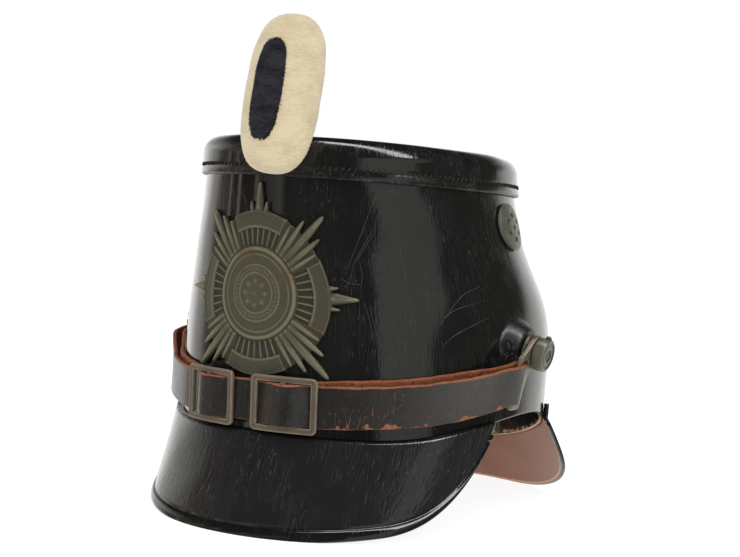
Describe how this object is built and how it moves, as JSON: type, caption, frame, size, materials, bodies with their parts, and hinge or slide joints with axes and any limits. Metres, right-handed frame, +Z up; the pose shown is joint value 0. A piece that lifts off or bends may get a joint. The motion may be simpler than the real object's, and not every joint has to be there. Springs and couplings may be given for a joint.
{
  "type": "shako hat",
  "caption": "Black lacquered leather shako with stitched top, front peak, neck guard, star plate, wool field badge, vents and buckled chin strap on side posts.",
  "frame": {"origin": "middle of the box that holds the hat, on the surface that it rests on", "axes": "+Z up, the front with the peak towards -Y, the wearer's left towards +X"},
  "size_m": [0.2068, 0.24, 0.2267],
  "materials": {
    "lacquered_leather": "glossy black lacquer, crazed and scratched",
    "guard_leather": "bare brown leather inside, black lacquer outside",
    "strap_leather": "worn black leather with orange-brown raw edges and cracks",
    "plate_metal": "grey-green patina",
    "nickel": "dull tarnished nickel",
    "steel": "dull browned steel",
    "cream_wool": "wound wool thread",
    "navy_wool": "clipped dark wool"
  },
  "bodies": {
    "root": {"crown_body": "lacquered_leather", "crown_top": "lacquered_leather", "front_peak": "lacquered_leather", "neck_guard": "guard_leather", "front_plate": "plate_metal", "field_badge_wool": "cream_wool", "field_badge_center": "navy_wool", "field_badge_prong": "steel", "vent_left": "nickel", "vent_right": "nickel", "side_post_left": "nickel", "side_post_right": "nickel", "strap_loop_left": "steel", "strap_loop_right": "steel", "buckle_left": "steel", "buckle_right": "steel", "chin_strap": "strap_leather"}
  },
  "joints": []
}
